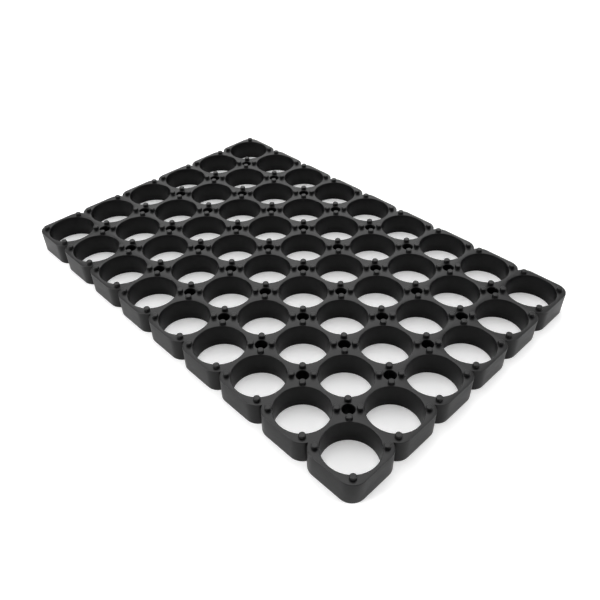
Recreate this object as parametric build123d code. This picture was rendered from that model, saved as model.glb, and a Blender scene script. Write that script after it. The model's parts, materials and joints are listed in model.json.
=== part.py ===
from build123d import *
from math import atan2, degrees, sqrt
import os

# Battery cell holder bracket: one moulded plastic grid that spaces round cells
# side by side at one end of a pack.  It lies flat, 6 cells wide along X and
# 9 cells long along Y, with the cells standing in it along Z.
# All lengths are millimetres; the origin is the centre of the underside.

# --- the grid of cells -------------------------------------------------------
columns = 6                 # cells along X
rows = 9                    # cells along Y
bore_diameter = 18.6        # an 18 mm cell in its wrap slides through
wall = 1.6                  # narrowest wall, between two bores and on the rim
body_height = 9.0           # how much of each cell the bracket holds
corner_radius = 6.0         # rounding of the corners on the rim
hole_sides = 8              # facets round the small hole between four cells

# --- the locating pins on the top face ---------------------------------------
pins_per_cell = 4           # one towards each corner of the cell's square
pin_sides = 8               # facets round a pin
pin_base = 2.4              # across the facets at the foot
pin_top = 2.0               # across the facets at the tip
pin_height = 1.3
pin_to_bore = 0.1           # land left between a pin and the rim of its bore
pin_to_hole = 0.3           # land left between a pin and the hole behind it

# --- worked out from those ---------------------------------------------------
cell_pitch = bore_diameter + wall
cell_side = bore_diameter + 2 * wall
pin_ring = bore_diameter / 2 + pin_to_bore + pin_base / 2
hole_inner = cell_pitch / sqrt(2) - pin_ring - pin_base / 2 - pin_to_hole


def cell_places():
    """Centres of all the cells, seen from above."""
    return GridLocations(cell_pitch, cell_pitch, columns, rows)


def facetted_disc(radius, sides, mode=Mode.ADD):
    """A round outline made of flats, each at `radius` from the centre."""
    return RegularPolygon(radius, sides, major_radius=False, rotation=180 / sides, mode=mode)


def wall_plan():
    """Plan of the body: a rounded square round each bore, and holes between.

    Neighbouring squares overlap by one wall.  Their rounded corners leave a
    notch between two cells on the rim.  Inside, the slab fills the corners up,
    but for a small hole wherever four cells meet, a flat of it turned to each
    of the four pins around it.
    """
    slab_width = (columns - 1) * cell_pitch
    slab_length = (rows - 1) * cell_pitch
    with BuildSketch() as plan:
        with cell_places():
            RectangleRounded(cell_side, cell_side, corner_radius)
        Rectangle(slab_width, slab_length)
        with cell_places():
            Circle(bore_diameter / 2, mode=Mode.SUBTRACT)
        with GridLocations(cell_pitch, cell_pitch, columns - 1, rows - 1):
            facetted_disc(hole_inner, hole_sides, Mode.SUBTRACT)
    return plan.sketch


def locating_pin():
    """One pin, tapered so that it leaves its mould, a flat turned to the bore."""
    taper = degrees(atan2((pin_base - pin_top) / 2, pin_height))
    with BuildPart() as pin:
        with BuildSketch(Plane.XY.offset(body_height)):
            facetted_disc(pin_base / 2, pin_sides)
        extrude(amount=pin_height, taper=taper)
    return pin.part


def cell_holder():
    """The bracket: the walls, with the pins round the top of every bore."""
    pin = locating_pin()
    with BuildPart() as holder:
        add(extrude(wall_plan(), amount=body_height))
        with cell_places():
            with PolarLocations(pin_ring, pins_per_cell, start_angle=45):
                add(pin)
    return holder.part


os.makedirs("parts", exist_ok=True)
export_step(cell_holder(), "parts/cell_holder.step")
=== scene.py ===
import json
import math

import bpy
import numpy as np
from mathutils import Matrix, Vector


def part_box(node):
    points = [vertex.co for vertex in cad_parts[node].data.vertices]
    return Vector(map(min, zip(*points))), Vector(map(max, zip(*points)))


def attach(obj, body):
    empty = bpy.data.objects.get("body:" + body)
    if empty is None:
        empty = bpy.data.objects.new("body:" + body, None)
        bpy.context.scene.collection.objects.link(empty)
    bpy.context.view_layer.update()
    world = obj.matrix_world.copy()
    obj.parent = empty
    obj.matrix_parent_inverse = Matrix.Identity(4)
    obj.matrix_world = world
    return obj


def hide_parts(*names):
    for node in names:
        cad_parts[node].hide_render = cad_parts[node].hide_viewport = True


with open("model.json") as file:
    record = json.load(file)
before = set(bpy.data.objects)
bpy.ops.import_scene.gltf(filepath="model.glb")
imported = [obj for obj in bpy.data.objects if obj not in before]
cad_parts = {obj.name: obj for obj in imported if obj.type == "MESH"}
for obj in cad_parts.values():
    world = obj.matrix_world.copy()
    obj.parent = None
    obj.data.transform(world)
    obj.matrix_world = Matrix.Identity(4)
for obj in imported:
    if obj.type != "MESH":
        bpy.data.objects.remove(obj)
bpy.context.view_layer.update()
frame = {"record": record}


# ---------------------------------------------------------------------------
# The grid.  The bracket is one injection moulding in black ABS.  Every cell of
# its grid is the same square ring round a through bore, so the walls are worked
# out for one cell and set down at each bore that the frame states.
# ---------------------------------------------------------------------------
MM = 0.001
bores = [m for m in frame["record"]["mounts"] if m["kind"] == "bore"]
cell_centres = np.array([m["pos_m"][:2] for m in bores])
bore_radius = bores[0]["dims"]["r_mm"] * MM
body_height = bores[0]["dims"]["length_mm"] * MM
half_pitch = np.diff(np.unique(cell_centres[:, 0].round(6))).min() / 2
rim_inset = 0.3 * MM            # how far the rim's flats lie inside the solid's
rim_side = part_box("cell_holder")[1][0] - rim_inset
half_rim = rim_side - cell_centres[:, 0].max()      # from a bore's axis to the rim's flat
corner_radius = 5.0 * MM        # rounding of the corners on the rim
hole_radius = 2.2 * MM          # the small hole where four cells meet
edge_radius = 0.2 * MM          # what the tool leaves on each moulded edge

flat_end = half_rim - corner_radius
notch_start = math.acos((half_pitch - flat_end) / corner_radius)
notch_floor = flat_end + corner_radius * math.sin(notch_start)


def along_side(distance, length, spans):
    """Points on a straight side, from its middle, at even steps of the polar angle."""
    rise = distance * np.tan(np.linspace(0, math.atan2(length, distance), spans + 1))
    return np.stack([np.full(spans + 1, distance), rise], axis=1)


def half_side(joined, corner_joined):
    """Outline of a cell from the middle of its +X side to its 45 degree corner.

    joined says whether a cell stands on +X, and corner_joined whether one stands
    on the side round the corner.  The corner is an arc of corner_radius about
    (flat_end, flat_end).  Between four cells it is an eighth of the small hole
    instead, whose centre is half a pitch away both ways.  Returns 11 points, the
    outward direction at each, and for each of the 10 spans whether a wall stands
    on it: a shared side has none.
    """
    if not joined:
        angles = np.linspace(0, math.pi / 4, 7)[1:]
        side = along_side(half_rim, flat_end, 4)
        side_out = np.tile([1.0, 0.0], (5, 1))
    elif corner_joined:
        angles = np.linspace(-math.pi / 2, -math.pi * 3 / 4, 4)
        side = along_side(half_pitch, half_pitch - hole_radius, 7)[:-1]
        side_out = np.zeros((7, 2))
    else:
        angles = np.linspace(notch_start, math.pi / 4, 4)[1:]
        side = along_side(half_pitch, notch_floor, 7)
        side_out = np.zeros((8, 2))
        side_out[-1] = [0.0, 1 / math.sin(notch_start)]
    arc_out = np.stack([np.cos(angles), np.sin(angles)], axis=1)
    if joined and corner_joined:
        arc = half_pitch + hole_radius * arc_out
        arc_out = -arc_out
    else:
        arc = flat_end + corner_radius * arc_out
    walls = np.arange(10) >= (7 if joined else 0)
    return np.concatenate([side, arc]), np.concatenate([side_out, arc_out]), walls


def cell_outline(neighbours):
    """Closed outline of a cell, anticlockwise from its -45 degree corner.

    neighbours says whether a cell stands on the +X, +Y, -X and -Y side.  Each
    side is the half towards the side before, mirrored, and then the half towards
    the side after, turned by a right angle for each side before it.
    """
    mirror = np.array([1.0, -1.0])
    sides = []
    for side, joined in enumerate(neighbours):
        before = half_side(joined, neighbours[side - 1])
        after = half_side(joined, neighbours[(side + 1) % 4])
        cos, sin = math.cos(math.pi / 2 * side), math.sin(math.pi / 2 * side)
        turn = np.array([[cos, sin], [-sin, cos]])
        sides.append((
            np.concatenate([(before[0] * mirror)[:0:-1], after[0][:-1]]) @ turn,
            np.concatenate([(before[1] * mirror)[:0:-1], after[1][:-1]]) @ turn,
            np.concatenate([before[2][::-1], after[2]]),
        ))
    return [np.concatenate(part) for part in zip(*sides)]


def quarter_round(radius):
    """Steps round a quarter circle: radius * (1 - sin t) and radius * (1 - cos t)."""
    t = np.radians([0, 30, 60, 90])
    return radius * (1 - np.sin(t)), radius * (1 - np.cos(t))


def cell_walls(neighbours):
    """Vertices and quads of one cell's walls, about its own axis.

    The section is a closed ring of 16 points: up the bore, across the top face,
    down the outside and back under, with a quarter round of edge_radius at each
    of its four corners.  Its first half runs round the bore and its second half
    round the outline.  A span shared with the next cell has no outside, so the
    two cells join there.
    """
    outline, normals, walls = cell_outline(neighbours)
    inset, lift = quarter_round(edge_radius)
    insets = np.concatenate([inset, inset[::-1], inset, inset[::-1]])[:, None, None]
    heights = np.concatenate([lift, body_height - lift[::-1], body_height - lift, lift[::-1]])
    half = len(heights) // 2
    rays = outline / np.linalg.norm(outline, axis=1, keepdims=True)
    inner = rays * (bore_radius + insets[:half])
    outer = outline - normals * insets[half:]
    plan = np.concatenate([inner, outer])
    rows, count = plan.shape[:2]
    tall = np.broadcast_to(heights[:, None, None], (rows, count, 1))
    vertices = np.concatenate([plan, tall], axis=2).reshape(-1, 3)

    here = np.arange(count)
    after = np.roll(here, -1)
    quads = []
    for row in range(rows):
        above = (row + 1) % rows
        quad = np.stack([row * count + here, above * count + here,
                         above * count + after, row * count + after], axis=1)
        outside = half <= row < rows - 1
        quads.append(quad[walls] if outside else quad)
    return vertices, np.concatenate(quads)


def neighbours_of(centre):
    """Whether a cell stands one pitch away on the +X, +Y, -X and -Y side."""
    steps = 2 * half_pitch * np.array([[1, 0], [0, 1], [-1, 0], [0, -1]])
    gaps = np.linalg.norm((centre + steps)[:, None] - cell_centres, axis=2)
    return tuple(gaps.min(axis=1) < half_pitch)


def weld(vertices, faces, grid=1e-7):
    """Joins vertices that share a place, and drops those that no face uses."""
    used, faces = np.unique(faces, return_inverse=True)
    keys = np.round(vertices[used] / grid).astype(np.int64)
    _, first, merged = np.unique(keys, axis=0, return_index=True, return_inverse=True)
    return vertices[used][first], merged.reshape(-1)[faces.reshape(-1)]


wall_vertices, wall_quads, start = [], [], 0
for centre in cell_centres:
    vertices, quads = cell_walls(neighbours_of(centre))
    wall_vertices.append(vertices + [*centre, 0])
    wall_quads.append(quads + start)
    start += len(vertices)
wall_vertices = np.concatenate(wall_vertices)
wall_quads = np.concatenate(wall_quads)


# ---------------------------------------------------------------------------
# The locating pins.  Four short pins stand round the top of every bore, moulded
# in one with the walls, and keep the connecting strips in place.  They taper
# out of the tool and end in a flat tip with a rounded edge.
# ---------------------------------------------------------------------------
pin_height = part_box("cell_holder")[1][2] - body_height
pin_foot_radius = 1.2 * MM
pin_tip_radius = 1.12 * MM
pin_dome = 0.25 * MM            # rounding between the side and the flat tip
pin_to_bore = 0.1 * MM          # land between a pin and the rim of its bore
pin_facets = 16


def pin_surface():
    """Vertices, quads and cap triangles of one pin, turned about its own axis.

    The profile, from the foot on the top face: a tapered side, then a quarter
    round of pin_dome, and last a flat tip, with a ring half way in that keeps its
    shading level.
    """
    drop, narrowing = quarter_round(pin_dome)
    radii = np.concatenate([[pin_foot_radius], pin_tip_radius - narrowing, [pin_tip_radius / 2]])
    heights = np.concatenate([[0.0], pin_height - drop, [pin_height]])
    around = np.linspace(0, 2 * math.pi, pin_facets, endpoint=False)
    ring = np.stack([np.cos(around), np.sin(around), np.zeros(pin_facets)], axis=1)
    rings = ring * radii[:, None, None]
    rings[:, :, 2] = heights[:, None]
    vertices = np.concatenate([rings.reshape(-1, 3), [[0, 0, pin_height]]])
    here = np.arange(pin_facets)
    after = np.roll(here, -1)
    low = np.arange(len(radii) - 1)[:, None] * pin_facets
    high = low + pin_facets
    quads = np.stack([low + here, low + after, high + after, high + here], axis=2)
    last = (len(radii) - 1) * pin_facets
    caps = np.stack([last + here, last + after, np.full(pin_facets, len(vertices) - 1)], axis=1)
    return vertices, quads.reshape(-1, 4), caps


pin_reach = (bore_radius + pin_to_bore + pin_foot_radius) * math.sqrt(0.5)
pin_corners = np.array([[1, 1], [-1, 1], [-1, -1], [1, -1]]) * pin_reach
pin_places = (cell_centres[:, None] + pin_corners).reshape(-1, 2)
pin_feet = np.column_stack([pin_places, np.full(len(pin_places), body_height)])
one_pin, pin_quads, pin_caps = pin_surface()
pin_starts = (np.arange(len(pin_feet)) * len(one_pin))[:, None, None]
pin_vertices = (pin_feet[:, None] + one_pin).reshape(-1, 3)
pin_quads = (pin_starts + pin_quads).reshape(-1, 4)
pin_caps = (pin_starts + pin_caps).reshape(-1, 3)

vertices, welded = weld(wall_vertices, wall_quads)
offset = len(vertices)
faces = welded.reshape(-1, 4).tolist()
faces += (pin_quads + offset).tolist()
faces += (pin_caps + offset).tolist()
mesh = bpy.data.meshes.new("cell_holder_moulding")
mesh.from_pydata(np.concatenate([vertices, pin_vertices]).tolist(), [], faces)
mesh.shade_smooth()
mesh.set_sharp_from_angle(angle=math.radians(35))
holder = bpy.data.objects.new("cell_holder_moulding", mesh)
bpy.context.scene.collection.objects.link(holder)


# ---------------------------------------------------------------------------
# ABS, injection moulded in a spark-eroded tool: a satin black skin with a fine
# grain, whose gloss and colour change slowly with the flow of the melt.
# ---------------------------------------------------------------------------
def linear(hex_colour):
    """An sRGB hex colour as linear RGBA: c / 12.92, or ((c + 0.055) / 1.055) ** 2.4."""
    srgb = np.array([int(hex_colour[i:i + 2], 16) for i in (1, 3, 5)]) / 255
    rgb = np.where(srgb <= 0.04045, srgb / 12.92, ((srgb + 0.055) / 1.055) ** 2.4)
    return (*rgb.tolist(), 1.0)


def add_node(tree, kind, settings=None, links=None):
    """Adds a node to a tree and sets it up.

    settings are its attributes or the values of its inputs, by name, and links
    are input: (node, output).
    """
    node = tree.nodes.new(kind)
    for name, value in (settings or {}).items():
        if isinstance(name, str) and hasattr(node, name):
            setattr(node, name, value)
        else:
            node.inputs[name].default_value = value
    for name, (source, output) in (links or {}).items():
        tree.links.new(source.outputs[output], node.inputs[name])
    return node


def empty_material(name):
    """A material whose node tree has nothing in it yet."""
    material = bpy.data.materials.new(name)
    material.use_nodes = True
    material.node_tree.nodes.clear()
    return material


grain_pitch = 0.5 * MM          # the real grain is finer, and would not show
grain_depth = 0.02 * MM
flow_pitch = 14 * MM

abs_moulded = empty_material("abs_satin_moulded")
tree = abs_moulded.node_tree
place = add_node(tree, "ShaderNodeTexCoord")
grain = add_node(tree, "ShaderNodeTexNoise", {"Scale": 1 / grain_pitch, "Detail": 3.0},
                 {"Vector": (place, "Object")})
flow = add_node(tree, "ShaderNodeTexNoise", {"Scale": 1 / flow_pitch, "Detail": 3.0},
                {"Vector": (place, "Object")})
colour = add_node(tree, "ShaderNodeMix", {"data_type": "RGBA"}, {"Factor": (flow, "Fac")})
colour.inputs["A"].default_value = linear("#050506")
colour.inputs["B"].default_value = linear("#090909")
rough = add_node(tree, "ShaderNodeMapRange",
                 {"From Min": 0.3, "From Max": 0.7, "To Min": 0.32, "To Max": 0.38},
                 {"Value": (flow, "Fac")})
bump = add_node(tree, "ShaderNodeBump", {"Strength": 0.12, "Distance": grain_depth},
                {"Height": (grain, "Fac")})
skin = add_node(tree, "ShaderNodeBsdfPrincipled", {"IOR": 1.3},
                {"Base Color": (colour, "Result"), "Roughness": (rough, "Result"),
                 "Normal": (bump, "Normal")})
add_node(tree, "ShaderNodeOutputMaterial", {}, {"Surface": (skin, "BSDF")})
mesh.materials.append(abs_moulded)

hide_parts("cell_holder")
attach(holder, "root")


# ---------------------------------------------------------------------------
# The studio: a matt white paper floor, soft boxes round the bracket and an even
# surround.  To the camera alone the paper glows, more so away from the bracket.
# The surround is plain white to the camera and in reflections, and dim as a light.
# ---------------------------------------------------------------------------
glow_near, glow_far = 0.15, 0.6     # from the origin: where the glow starts to grow, and is full
glow_at_bracket = 0.26
half_floor = 3.0
floor_gap = 0.02 * MM               # keeps the paper clear of the underside

paper = empty_material("paper_matt_white")
tree = paper.node_tree
place = add_node(tree, "ShaderNodeTexCoord")
path = add_node(tree, "ShaderNodeLightPath")
away = add_node(tree, "ShaderNodeVectorMath", {"operation": "LENGTH"}, {0: (place, "Object")})
white = add_node(tree, "ShaderNodeMapRange",
                 {"From Min": glow_near, "From Max": glow_far,
                  "To Min": glow_at_bracket, "To Max": 1.0},
                 {"Value": (away, "Value")})
seen = add_node(tree, "ShaderNodeMath", {"operation": "MULTIPLY"},
                {0: (path, "Is Camera Ray"), 1: (white, "Result")})
sheet = add_node(tree, "ShaderNodeBsdfDiffuse", {"Color": linear("#f4f4f4")})
glow = add_node(tree, "ShaderNodeEmission", {"Color": linear("#ffffff")},
                {"Strength": (seen, "Value")})
both = add_node(tree, "ShaderNodeAddShader", {}, {0: (sheet, "BSDF"), 1: (glow, "Emission")})
add_node(tree, "ShaderNodeOutputMaterial", {}, {"Surface": (both, "Shader")})

corners = [(x * half_floor, y * half_floor, 0) for x, y in ((-1, -1), (1, -1), (1, 1), (-1, 1))]
floor_mesh = bpy.data.meshes.new("floor")
floor_mesh.from_pydata(corners, [], [(0, 1, 2, 3)])
floor_mesh.materials.append(paper)
floor = bpy.data.objects.new("floor", floor_mesh)
floor.location.z = -floor_gap
bpy.context.scene.collection.objects.link(floor)


def soft_box(name, place, size, power):
    """A square area lamp at place, size metres wide, turned to face the bracket."""
    lamp = bpy.data.lights.new(name, "AREA")
    lamp.shape = "SQUARE"
    lamp.size = size
    lamp.energy = power
    lamp_object = bpy.data.objects.new(name, lamp)
    lamp_object.location = place
    x, y, z = place
    tilt = math.atan2(math.hypot(x, y), z)
    lamp_object.rotation_euler = (tilt, 0, math.atan2(-y, -x) - math.pi / 2)
    bpy.context.scene.collection.objects.link(lamp_object)


soft_box("soft_box_over", (0.1, 0.1, 1.1), 0.7, 5.5)
soft_box("soft_box_behind", (0.55, 0.57, 0.85), 0.9, 6.0)
soft_box("soft_box_left", (-0.8, 0.4, 0.35), 0.5, 10.5)
soft_box("soft_box_right", (0.5, -0.7, 0.35), 0.5, 6.0)

surround_light = 0.22               # the surround's strength as a light

world = bpy.data.worlds.new("surround")
world.use_nodes = True
world.node_tree.nodes.clear()
tree = world.node_tree
path = add_node(tree, "ShaderNodeLightPath")
mirrored = add_node(tree, "ShaderNodeMath", {"operation": "MAXIMUM"},
                    {0: (path, "Is Glossy Ray"), 1: (path, "Is Transmission Ray")})
shown = add_node(tree, "ShaderNodeMath", {"operation": "MAXIMUM"},
                 {0: (path, "Is Camera Ray"), 1: (mirrored, "Value")})
strength = add_node(tree, "ShaderNodeMapRange", {"To Min": surround_light, "To Max": 1.0},
                    {"Value": (shown, "Value")})
air = add_node(tree, "ShaderNodeBackground", {"Color": linear("#ffffff")},
               {"Strength": (strength, "Result")})
add_node(tree, "ShaderNodeOutputWorld", {}, {"Surface": (air, "Background")})
bpy.context.scene.world = world
bpy.context.scene.view_settings.view_transform = "Standard"

camera_data = bpy.data.cameras.new("camera")
camera_data.lens = 38.0
camera = bpy.data.objects.new("camera", camera_data)
camera.location = (-0.13897, -0.15200, 0.16174)
camera.rotation_euler = np.radians([49.561, 0.666, -44.547])
bpy.context.scene.collection.objects.link(camera)
bpy.context.scene.camera = camera
